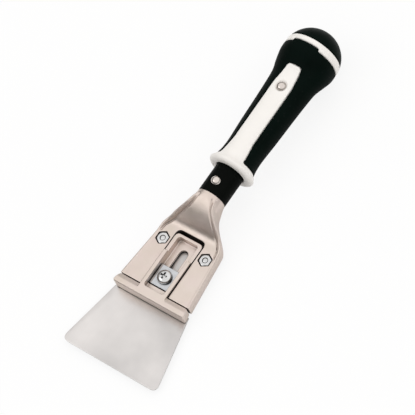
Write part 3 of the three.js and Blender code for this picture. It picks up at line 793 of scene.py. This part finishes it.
def make_zinc(name, tones):
    material, tree, shader = new_finish(name)
    cloud = use(tree, mottle, Scale=260.0, Low=0.0, High=1.0)["Value"]
    wear_and_shade_masks = use(tree, edge_masks, Reach=0.12)
    base = blend_colours(tree, cloud, *tones)
    # Painted shade: deep gaps and tight creases darkened almost to black
    painted_shaded = blend_colours(tree, gap_and_crease_shade(tree, wear_and_shade_masks), base, ZINC_GAP_SHADE)
    tree.links.new(painted_shaded, shader.inputs["Base Color"])
    roughen(tree, shader, 700.0, 0.1, 0.2)
    shader.inputs["Metallic"].default_value = 1.0
    pebble_skin(tree, shader, 1500.0, 0.06, 0.05)
    return material


def make_nickel():
    material, tree, shader = new_finish("rolled_nickel")
    cloud = use(tree, mottle, Scale=300.0, Low=0.0, High=1.0)["Value"]
    gaps = use(tree, edge_masks, Reach=0.1, Gap=1.5)["Gaps"]
    base = blend_colours(tree, cloud, *NICKEL_TONES)
    # Painted shade: tight gaps round the heads darkened
    painted_shaded = blend_colours(tree, partly(tree, gaps, 0.8), base, NICKEL_GAP_SHADE)
    tree.links.new(painted_shaded, shader.inputs["Base Color"])
    roughen(tree, shader, 600.0, 0.1, 0.17)
    shader.inputs["Metallic"].default_value = 1.0
    pebble_skin(tree, shader, 1500.0, 0.05, 0.05)
    return material


def make_dark(name, tones, rough, gloss, grain_scale, grain_strength):
    material, tree, shader = new_finish(name)
    cloud = use(tree, mottle, Scale=70.0, Low=0.0, High=1.0)["Value"]
    wear_and_shade_masks = use(tree, edge_masks, Reach=0.12)
    base = blend_colours(tree, cloud, *tones)
    rubbed = blend_colours(tree, partly(tree, wear_and_shade_masks["Edges"], 0.3), base, BLACK_RUBBED)
    tree.links.new(rubbed, shader.inputs["Base Color"])
    roughen(tree, shader, 220.0, *rough)
    shader.inputs["Specular IOR Level"].default_value = gloss
    pebble_skin(tree, shader, grain_scale, grain_strength, 0.08)
    return material


def make_white_plastic():
    material, tree, shader = new_finish("moulded_white_plastic")
    cloud = use(tree, mottle, Scale=40.0, Low=0.0, High=1.0)["Value"]
    wear_and_shade_masks = use(tree, edge_masks, Reach=0.1)
    base = blend_colours(tree, cloud, *WHITE_TONES)
    # Painted shade: concave hollows darkened to grey
    painted_shaded = blend_colours(tree, partly(tree, wear_and_shade_masks["Hollows"], 0.35), base, WHITE_HOLLOW_SHADE)
    tree.links.new(painted_shaded, shader.inputs["Base Color"])
    roughen(tree, shader, 180.0, 0.38, 0.5)
    pebble_skin(tree, shader, 2200.0, 0.08, 0.05)
    return material


profile_tree = make_profile_tree()
nut_tree = make_nut_tree()
mottle = make_mottle_group()
grain = make_grain_group()
brush = make_brush_group()
edge_masks = make_edge_group()
cast_metal = make_cast_metal()
blade_steel = make_blade_steel()
zinc = make_zinc("bright_zinc_plate", ZINC_TONES)
zinc_sheet = make_zinc("dull_zinc_sheet", ZINC_SHEET_TONES)
nickel = make_nickel()
black_paint = make_dark(
    "black_tube_paint",
    PAINT_TONES,
    rough=(0.3, 0.42),
    gloss=0.02,
    grain_scale=900.0,
    grain_strength=0.05,
)
soft_black = make_dark(
    "soft_black_grip",
    BLACK_TONES,
    rough=(0.5, 0.62),
    gloss=0.04,
    grain_scale=2600.0,
    grain_strength=0.3,
)
cap_black = make_dark(
    "moulded_black_cap",
    BLACK_TONES,
    rough=(0.42, 0.52),
    gloss=0.04,
    grain_scale=2200.0,
    grain_strength=0.15,
)
white_plastic = make_white_plastic()


# Head casting


def head_half_width(along):
    plate = HEAD_WIDTH / 2 - HEAD_TAPER * along
    return mix(plate, TUBE_RADIUS, smooth(*SHOULDER, along))


def scoop_climb(run):
    """The front's climb, whose slope grows evenly over the foot and then falls evenly."""
    turn = SCOOP_STEEP - SCOOP_LEVEL
    rest = NECK_LENGTH - SCOOP_START - SCOOP_FOOT
    low = min(run, SCOOP_FOOT)
    high = max(run - SCOOP_FOOT, 0.0)
    foot = -SCOOP_FOOT / SCOOP_STEEP * math.log(math.cos(SCOOP_STEEP * low / SCOOP_FOOT))
    upper = rest / turn * math.log(math.cos(SCOOP_STEEP - turn * high / rest) / math.cos(SCOOP_STEEP))
    return foot + upper


def head_levels(along):
    """Middle, half-depth and squareness of the head's section."""
    climbed = scoop_climb(max(along - SCOOP_START, 0.0)) / scoop_climb(NECK_LENGTH - SCOOP_START)
    front = mix(PLATE_FRONT, TUBE_RADIUS, climbed)
    back = mix(BLADE_BACK, -TUBE_RADIUS, smooth(BACK_RISE_START, NECK_LENGTH, along))
    squareness = mix(PLATE_SQUARENESS, 2.0, smooth(SCOOP_START, NECK_LENGTH, along))
    return (front + back) / 2, (front - back) / 2, squareness


def head_ring(along, count):
    middle, deep, squareness = head_levels(along)
    angle = np.arange(count) / count * math.tau
    sine = np.sin(angle)
    cosine = np.cos(angle)
    reach = (np.abs(sine) ** squareness + np.abs(cosine) ** squareness) ** (-1 / squareness)
    y = np.full(count, HEAD_Y + along)
    return np.stack([head_half_width(along) * reach * sine, y, middle + deep * reach * cosine], 1)


def rib_crest(along):
    """The top of the rib that follows the head's front edge up to the neck."""
    middle, deep, squareness = head_levels(along)
    angle = math.radians(mix(*RIB_ANGLES, smooth(*SHOULDER, along)))
    x = head_half_width(along) * math.sin(angle) ** (2 / squareness)
    z = middle + deep * math.cos(angle) ** (2 / squareness)
    growth = smooth(SHOULDER[0] - RIB_RUN, SHOULDER[0] + RIB_RUN, along)
    fade = smooth(RIB_FADE, NECK_LENGTH, along)
    return x, z + mix(mix(RIM_RISE, RIB_RISE, growth), -RIM_RISE, fade)


def make_rib(side):
    rings = []
    angle = np.arange(RIB_SIDES) / RIB_SIDES * math.tau
    for along in np.linspace(0, NECK_LENGTH - RIB_HALF_WIDTH, RIB_RINGS):
        x, z = rib_crest(along)
        lean = (rib_crest(along + RIB_HALF_WIDTH)[0] - x) / RIB_HALF_WIDTH
        across = RIB_HALF_WIDTH * math.hypot(1, lean)
        rings.append(np.stack([
            side * x + across * np.sin(angle),
            np.full(RIB_SIDES, HEAD_Y + along),
            z - RIB_DEPTH * (1 - np.cos(angle)),
        ], 1))
    return loft("rib", rings)


def make_rib_groove(side):
    """A tool for the fine groove along the rib's inner foot."""
    rings = []
    angle = np.arange(GROOVE_SIDES) / GROOVE_SIDES * math.tau
    start = SHOULDER[0] - RIB_RUN / 2
    end = NECK_LENGTH - 2 * RIB_HALF_WIDTH
    for along in np.linspace(start, end, GROOVE_RINGS):
        x = rib_crest(along)[0]
        middle, deep, squareness = head_levels(along)
        lean = (rib_crest(along + RIB_HALF_WIDTH)[0] - x) / RIB_HALF_WIDTH
        inner = x - (RIB_HALF_WIDTH + GROOVE_RADIUS / 2) * math.hypot(1, lean)
        across = min(inner / head_half_width(along), 1.0)
        skin = middle + deep * (1 - across ** squareness) ** (1 / squareness)
        rings.append(np.stack([
            side * inner + GROOVE_RADIUS * math.hypot(1, lean) * np.sin(angle),
            np.full(GROOVE_SIDES, HEAD_Y + along),
            skin + GROOVE_RADIUS * np.cos(angle),
        ], 1))
    return loft("rib_groove", rings)


def make_head():
    steps = np.linspace(0, NECK_LENGTH, HEAD_RINGS)
    head = loft("cast_head", [head_ring(along, HEAD_SIDES) for along in steps])
    combine(head, "UNION", make_rib(1), make_rib(-1))
    channel_half = STEM_WIDTH / 2 + SIDE_PLAY
    channel = mirrored_outline([
        (channel_half, HEAD_Y - FAR, 0),
        (channel_half, CHANNEL_TOP, STEM_CORNER + SIDE_PLAY),
    ])
    recess_half = TANG_HALF_WIDTH + FIT_GAP
    recess = mirrored_outline([
        (recess_half + BLADE_TAPER * FAR, HEAD_Y - FAR, 0),
        (recess_half - BLADE_TAPER * TANG_LENGTH, HEAD_Y + TANG_LENGTH + FIT_GAP, BLADE_CORNER),
    ])
    nut_floor = PLATE_FRONT - NUT_SINK - CLAMP_NUT_HEIGHT
    nut_room = CLAMP_NUT_FLATS + 2 * NUT_PLAY
    pockets = [
        prism("nut_pocket", hexagon(nut_room, side * CLAMP_SPACING / 2, CLAMP_Y), nut_floor, FAR)
        for side in (-1, 1)
    ]
    combine(
        head,
        "DIFFERENCE",
        prism("channel", channel, -FAR, FAR),
        prism("recess", recess, -FAR, BLADE_FRONT),
        *pockets,
    )
    combine(head, "DIFFERENCE", make_rib_groove(1), make_rib_groove(-1))
    return soften(head, *HEAD_SOFTNESS)


# Handle


def handle_points():
    """Half-width, height and half-depth where the handle's outline is set."""
    def at_bulb(share):
        run, width, depth = share
        return (
            mix(BULB_FOOT_HALF_WIDTH, BULB_RADIUS, width),
            mix(BULB_FOOT, BULB_CENTRE, run),
            mix(HALF_DEPTH, BULB_RADIUS, depth),
        )

    swell = (mix(WAIST_RADIUS, PALM_HALF_WIDTH, SWELL_SHARE), mix(WAIST, PALM, SWELL_SHARE), HALF_DEPTH)
    return np.array([
        (GUARD_RADIUS, GUARD_RIM, GUARD_RADIUS),
        (GRIP_FOOT_RADIUS, GRIP_FOOT, GRIP_FOOT_RADIUS),
        (WAIST_RADIUS, WAIST, WAIST_RADIUS),
        swell,
        (PALM_HALF_WIDTH, PALM, HALF_DEPTH),
        (BULB_FOOT_HALF_WIDTH, BULB_FOOT, HALF_DEPTH),
        at_bulb(BULB_LOWER),
        at_bulb(BULB_UPPER),
        (BULB_RADIUS, BULB_CENTRE, BULB_RADIUS),
    ])


def smooth_curve(points, steps):
    """A centripetal curve through the points."""
    ends = np.concatenate([[2 * points[0] - points[1]], points, [2 * points[-1] - points[-2]]])
    found = []
    for k in range(len(points) - 1):
        p0, p1, p2, p3 = ends[k:k + 4]
        d0, d1, d2 = (math.sqrt(np.linalg.norm(b - a)) for a, b in ((p0, p1), (p1, p2), (p2, p3)))
        start = ((p1 - p0) / d0 - (p2 - p0) / (d0 + d1) + (p2 - p1) / d1) * d1
        end = ((p2 - p1) / d1 - (p3 - p1) / (d1 + d2) + (p3 - p2) / d2) * d1
        for t in np.arange(steps) / steps:
            found.append(
                p1 * (2 * t ** 3 - 3 * t ** 2 + 1)
                + start * (t ** 3 - 2 * t ** 2 + t)
                + p2 * (3 * t ** 2 - 2 * t ** 3)
                + end * (t ** 3 - t ** 2)
            )
    return np.array(found + [points[-1]])


def handle_skin(name, inset):
    """The handle's outer skin from the guard to the top, drawn in by a wall thickness."""
    profile = [(0.0, GUARD_Y, 0.0)]
    for angle in np.linspace(0, math.pi / 2, GUARD_STEPS)[:-1]:
        radius = GUARD_RADIUS - GUARD_ROUND * (1 - math.sin(angle)) - inset
        profile.append((radius, GUARD_Y + GUARD_RIM * (1 - math.cos(angle)), radius))
    for half_width, height, half_depth in smooth_curve(handle_points(), HANDLE_STEPS):
        profile.append((half_width - inset, GUARD_Y + height, half_depth - inset))
    radius = BULB_RADIUS - inset
    for angle in np.linspace(0, math.pi / 2, BULB_STEPS)[1:-1]:
        profile.append((
            radius * math.cos(angle),
            GUARD_Y + BULB_CENTRE + radius * math.sin(angle),
            radius * math.cos(angle),
        ))
    profile.append((0.0, GUARD_Y + BULB_CENTRE + radius, 0.0))
    return grow(
        profile_tree,
        name,
        profile_mesh(profile),
        Sides=HANDLE_SIDES,
        Turn=(0.0, 0.0, 0.0),
        Place=tuple(placed((0, 0, 0))[0]),
        Copies=1,
        Spacing=(0.0, 0.0, 0.0),
        Finish=None,
    )


def handle_slice(low, high):
    return box("slice", (-FAR, low, -FAR), (FAR, high, FAR))


def stripe_outline(grown):
    half = STRIPE_HALF_WIDTH + grown
    tip = STRIPE_TIP_HALF_WIDTH + grown
    return mirrored_outline([
        (half + STRIPE_FLARE, GUARD_Y + GRIP_FOOT / 2, 0),
        (half, GUARD_Y + WAIST + GRIP_FOOT, STRIPE_FLARE_ROUND),
        (half, GUARD_Y + PALM, STRIPE_CORNER),
        (tip, GUARD_Y + STRIPE_END + grown, STRIPE_CORNER),
    ])


def core_body(name, grown):
    """The white core without its bores, each face that the grip meets moved out by grown."""
    lower = FIT_GAP - grown
    notch_half = RING_NOTCH_HALF_WIDTH + lower
    notch_top = GUARD_Y + RING_FRONT + lower
    ring = combine(
        handle_slice(GUARD_Y + RING_SIDE + lower, GUARD_Y + RING_TOP),
        "DIFFERENCE",
        box("notch", (-notch_half, GUARD_Y, -2 * FAR), (notch_half, notch_top, 2 * FAR)),
    )
    kept = combine(
        handle_slice(GUARD_Y - FAR, GUARD_Y + GRIP_FOOT - lower),
        "UNION",
        prism("stripe", stripe_outline(grown), -FAR, FAR),
        ring,
    )
    shown = combine(handle_skin("shown", -grown), "INTERSECT", kept)
    body = combine(handle_skin(name, GRIP_SKIN + FIT_GAP - grown), "UNION", shown)
    return combine(body, "INTERSECT", handle_slice(GUARD_Y - FAR, GUARD_Y + RING_TOP))


def make_core():
    core = core_body("moulded_core", 0.0)
    room = TUBE_RADIUS + FIT_GAP
    bore_profile = [(0, 0), (room, 0), (room, BORE_LENGTH), (0, BORE_LENGTH)]
    bore = turned("bore", bore_profile, BORE_SIDES, y=GUARD_Y - BORE_LEAD)
    mouth = HALF_DEPTH + DISH_MOUTH_RISE
    dish = [
        (0.0, DISH_FLOOR),
        (DISH_FLOOR_SHARE * DISH_RADIUS, DISH_FLOOR),
        (DISH_MOUTH_SHARE * DISH_RADIUS, mouth),
        (0.0, mouth),
    ]
    back_dish = [(radius, -height) for radius, height in dish]
    front = turned("dish", dish, PIN_SIDES, turn=UPRIGHT, y=PIN_Y)
    back = turned("dish", back_dish, PIN_SIDES, turn=UPRIGHT, y=PIN_Y)
    combine(core, "DIFFERENCE", bore, front, back)
    return soften(core, *CORE_SOFTNESS)


def make_grip():
    grip = combine(
        handle_skin("soft_overmould", 0.0),
        "INTERSECT",
        handle_slice(GUARD_Y + GRIP_FOOT, GUARD_Y + RING_TOP - FIT_GAP),
    )
    combine(grip, "DIFFERENCE", core_body("cutter", FIT_GAP))
    return soften(grip, *GRIP_SOFTNESS)


def make_cap():
    cap = combine(
        handle_skin("domed_cap", 0.0),
        "INTERSECT",
        handle_slice(GUARD_Y + RING_TOP + FIT_GAP, GUARD_Y + RING_TOP + FAR),
    )
    return soften(cap, *CAP_SOFTNESS)


# Screws, nuts, rivets and tube


def make_lock_screw():
    tip = PLATE_BACK + SEAT_GAP
    rim = LOCK_HEAD_BASE + LOCK_HEAD_RIM
    profile = [
        (0.0, tip),
        (LOCK_SHANK_RADIUS - LOCK_TIP_CHAMFER, tip),
        (LOCK_SHANK_RADIUS, tip + LOCK_TIP_CHAMFER),
        (LOCK_SHANK_RADIUS, LOCK_HEAD_BASE),
        (LOCK_HEAD_RADIUS - LOCK_HEAD_CHAMFER, LOCK_HEAD_BASE),
        (LOCK_HEAD_RADIUS, LOCK_HEAD_BASE + LOCK_HEAD_CHAMFER),
        *dome(LOCK_HEAD_RADIUS, rim, LOCK_HEAD_HEIGHT - LOCK_HEAD_RIM, LOCK_DOME_STEPS),
    ]
    screw = turned("pan_head_screw", profile, LOCK_SCREW_SIDES, turn=UPRIGHT, y=LOCK_Y)
    floor = LOCK_HEAD_BASE + LOCK_HEAD_HEIGHT - DRIVE_DEPTH
    long = DRIVE_SPAN / 2
    narrow = DRIVE_SLOT / 2
    combine(
        screw,
        "DIFFERENCE",
        box("slot", (-long, LOCK_Y - narrow, floor), (long, LOCK_Y + narrow, FAR)),
        box("slot", (-narrow, LOCK_Y - long, floor), (narrow, LOCK_Y + long, FAR)),
    )
    screw.data.shade_smooth()
    screw.data.set_sharp_from_angle(angle=SHARP_ANGLE)
    return screw


def make_clamp_screws():
    end = PLATE_FRONT - NUT_SINK / 2
    drive_floor = PLATE_BACK + CLAMP_DRIVE_DEPTH
    profile = [
        (0.0, drive_floor),
        (CLAMP_DRIVE_FLOOR_RADIUS, drive_floor),
        (CLAMP_DRIVE_RADIUS, PLATE_BACK),
        (CLAMP_HEAD_RADIUS, PLATE_BACK),
        (CLAMP_SHANK_RADIUS, PLATE_BACK + CLAMP_HEAD_RADIUS - CLAMP_SHANK_RADIUS),
        *dome(CLAMP_SHANK_RADIUS, end - CLAMP_END_ROUND, CLAMP_END_ROUND, CLAMP_END_STEPS),
    ]
    return turned(
        "clamp_screw_pair",
        profile,
        CLAMP_SCREW_SIDES,
        turn=UPRIGHT,
        x=-CLAMP_SPACING / 2,
        y=CLAMP_Y,
        copies=2,
        spacing=CLAMP_SPACING,
        finish=zinc,
    )


def make_tube():
    low, high = TUBE_ENDS
    inner = TUBE_RADIUS - TUBE_WALL
    profile = [
        (TUBE_RADIUS - TUBE_CHAMFER, low),
        (TUBE_RADIUS, low + TUBE_CHAMFER),
        (TUBE_RADIUS, high),
        (inner, high),
        (inner, low),
        (TUBE_RADIUS - TUBE_CHAMFER, low),
    ]
    return turned("painted_tube", profile, TUBE_SIDES, finish=black_paint)


def make_domed_pin(name, y, shank, head_radius, base, height):
    upper = dome(head_radius, base, height)
    lower = [(radius, -z) for radius, z in reversed(upper)]
    profile = [*lower, (shank, -base), (shank, base), *upper]
    return turned(name, profile, PIN_SIDES, turn=UPRIGHT, y=y, finish=nickel)


# Pieces and the bodies they ride on


def dress(piece, body, slot, finish, *nodes):
    """Gives a piece its finish and body, in place of the model's plain nodes."""
    if not piece.data.materials:
        piece.data.materials.append(finish)
    piece.data.materials[0] = finish
    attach(piece, body)
    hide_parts(*nodes)


def make_blade():
    blade = copy_of("blade", "blade_sheet")
    tidy = blade.modifiers.new("tidy", "DECIMATE")
    tidy.decimate_type = "DISSOLVE"
    tidy.angle_limit = FLAT_ANGLE
    bevel = blade.modifiers.new("bevel", "BEVEL")
    bevel.width = BLADE_BEVEL * MM
    bevel.segments = BLADE_BEVEL_STEPS
    bevel.limit_method = "ANGLE"
    bevel.angle_limit = BEVEL_ANGLE
    settle(blade)
    blade.data.shade_smooth()
    blade.data.set_sharp_from_angle(angle=BLADE_SHARP_ANGLE)
    return blade


dress(make_blade(), "fixed_parts", "blade_steel", blade_steel, "blade")
dress(make_head(), "fixed_parts", "cast_metal", cast_metal, "head_casting")
stiffener = soften(copy_of("blade_stiffener", "cast_stiffener"), *STIFFENER_SOFTNESS)
dress(stiffener, "stiffener", "cast_metal", cast_metal, "blade_stiffener")
back_plate = soften(copy_of("back_plate", "back_clamp_plate"), *BACK_PLATE_SOFTNESS)
dress(back_plate, "fixed_parts", "cast_metal", cast_metal, "back_plate")
guide_plate = soften(copy_of("guide_plate", "guide_washer"), *GUIDE_PLATE_SOFTNESS)
dress(guide_plate, "fixed_parts", "zinc_plate", zinc_sheet, "guide_plate")
dress(make_lock_screw(), "lock_screw", "zinc_plate", zinc, "lock_screw")
dress(make_clamp_screws(), "fixed_parts", "zinc_plate", zinc, "clamp_screw_left", "clamp_screw_right")
clamp_nuts = nuts(
    "clamp_nut_pair",
    CLAMP_NUT_FLATS,
    CLAMP_NUT_HEIGHT,
    CLAMP_SHANK_RADIUS + FIT_GAP,
    -CLAMP_SPACING / 2,
    CLAMP_Y,
    PLATE_FRONT - NUT_SINK - CLAMP_NUT_HEIGHT / 2,
    2,
    CLAMP_SPACING,
    zinc,
)
dress(clamp_nuts, "fixed_parts", "zinc_plate", zinc, "clamp_nut_left", "clamp_nut_right")
lock_nut = nuts(
    "thin_lock_nut",
    LOCK_NUT_FLATS,
    LOCK_NUT_HEIGHT,
    LOCK_SHANK_RADIUS + FIT_GAP,
    0.0,
    LOCK_Y,
    BLADE_BACK - LOCK_NUT_HEIGHT / 2,
    1,
    0.0,
    zinc,
)
dress(lock_nut, "fixed_parts", "zinc_plate", zinc, "lock_nut")
dress(make_tube(), "fixed_parts", "black_paint", black_paint, "shank_tube")
rivet = make_domed_pin(
    "tube_cross_rivet",
    RIVET_Y,
    RIVET_RADIUS,
    RIVET_HEAD_RADIUS,
    TUBE_RADIUS - RIVET_SEAT,
    RIVET_HEAD_HEIGHT + RIVET_SEAT,
)
dress(rivet, "fixed_parts", "nickel_plate", nickel, "tube_rivet")
pin = make_domed_pin(
    "handle_cross_pin",
    PIN_Y,
    PIN_RADIUS,
    PIN_HEAD_RADIUS,
    DISH_FLOOR + SEAT_GAP,
    PIN_HEAD_HEIGHT,
)
dress(pin, "fixed_parts", "nickel_plate", nickel, "handle_pin")
dress(make_core(), "fixed_parts", "white_plastic", white_plastic, "handle_core")
dress(make_grip(), "fixed_parts", "black_rubber", soft_black, "soft_grip")
dress(make_cap(), "fixed_parts", "black_plastic", cap_black, "end_cap")


# Floor, light and camera


def make_floor():
    material, tree, shader = new_finish("pale_floor")
    cloud = use(tree, mottle, Scale=3.0, Low=0.0, High=1.0)["Value"]
    tone = blend_colours(tree, cloud, *FLOOR_TONES)
    tree.links.new(tone, shader.inputs["Base Color"])
    shader.inputs["Roughness"].default_value = 0.9
    shader.inputs["Specular IOR Level"].default_value = 0.1
    glow = tree.nodes.new("ShaderNodeEmission").outputs[0]
    ray = tree.nodes.new("ShaderNodeLightPath").outputs
    seen = sum_up(tree, "ADD", ray["Is Camera Ray"], ray["Is Transmission Ray"])
    mirrored = sum_up(tree, "MULTIPLY", ray["Is Glossy Ray"], FLOOR_MIRROR)
    share = sum_up(tree, "MULTIPLY_ADD", seen, FLOOR_GLOW, mirrored)
    both = add(tree, "ShaderNodeMixShader", _0=share, _1=shader.outputs[0], _2=glow)
    tree.links.new(both.outputs[0], tree.nodes["Material Output"].inputs["Surface"])
    mesh = bpy.data.meshes.new("floor")
    signs = [(-1, -1), (1, -1), (1, 1), (-1, 1)]
    corners = [(x * FLOOR_REACH, y * FLOOR_REACH, FLOOR_LEVEL) for x, y in signs]
    mesh.from_pydata(corners, [], [(0, 1, 2, 3)])
    mesh.materials.append(material)
    new_object("floor", mesh)


def make_lamp(name, place, target, size, power):
    lamp = bpy.data.lights.new(name, "AREA")
    lamp.shape = "DISK"
    lamp.size = size
    lamp.energy = power
    holder = new_object(name, lamp)
    holder.location = place
    holder.rotation_euler = (Vector(target) - Vector(place)).to_track_quat("-Z", "Y").to_euler()


def make_world():
    world = bpy.data.worlds.new("studio")
    world.use_nodes = True
    tree = world.node_tree
    direction = tree.nodes.new("ShaderNodeTexCoord").outputs["Generated"]
    side = add(
        tree,
        "ShaderNodeVectorMath",
        {"operation": "DOT_PRODUCT"},
        _0=direction,
        _1=SKY_BRIGHT_SIDE,
    )
    level = add(
        tree,
        "ShaderNodeMapRange",
        {"interpolation_type": "SMOOTHSTEP"},
        Value=side.outputs["Value"],
        From_Min=SKY_REACH[0],
        From_Max=SKY_REACH[1],
        To_Min=SKY_LOW,
        To_Max=SKY_HIGH,
    )
    sky = tree.nodes["Background"]
    sky.inputs["Color"].default_value = SKY_COLOUR
    tree.links.new(level.outputs[0], sky.inputs["Strength"])
    bpy.context.scene.world = world


def make_camera():
    right = Vector(CAMERA_RIGHT)
    up = Vector(CAMERA_UP)
    turned_right = right * math.cos(CAMERA_ROLL) + up * math.sin(CAMERA_ROLL)
    turned_up = up * math.cos(CAMERA_ROLL) - right * math.sin(CAMERA_ROLL)
    axes = Matrix((turned_right, turned_up, turned_right.cross(turned_up))).transposed().to_4x4()
    camera = bpy.data.cameras.new("camera")
    camera.sensor_width = CAMERA_SENSOR
    camera.lens = CAMERA_LENS
    camera.clip_end = CAMERA_FAR
    holder = new_object("camera", camera)
    holder.matrix_world = Matrix.Translation(CAMERA_PLACE) @ axes
    bpy.context.scene.camera = holder


make_floor()
make_world()
make_lamp("key", KEY_PLACE, (0, 0, 0), KEY_SIZE, KEY_POWER)
make_camera()
bpy.context.scene.view_settings.view_transform = "Standard"
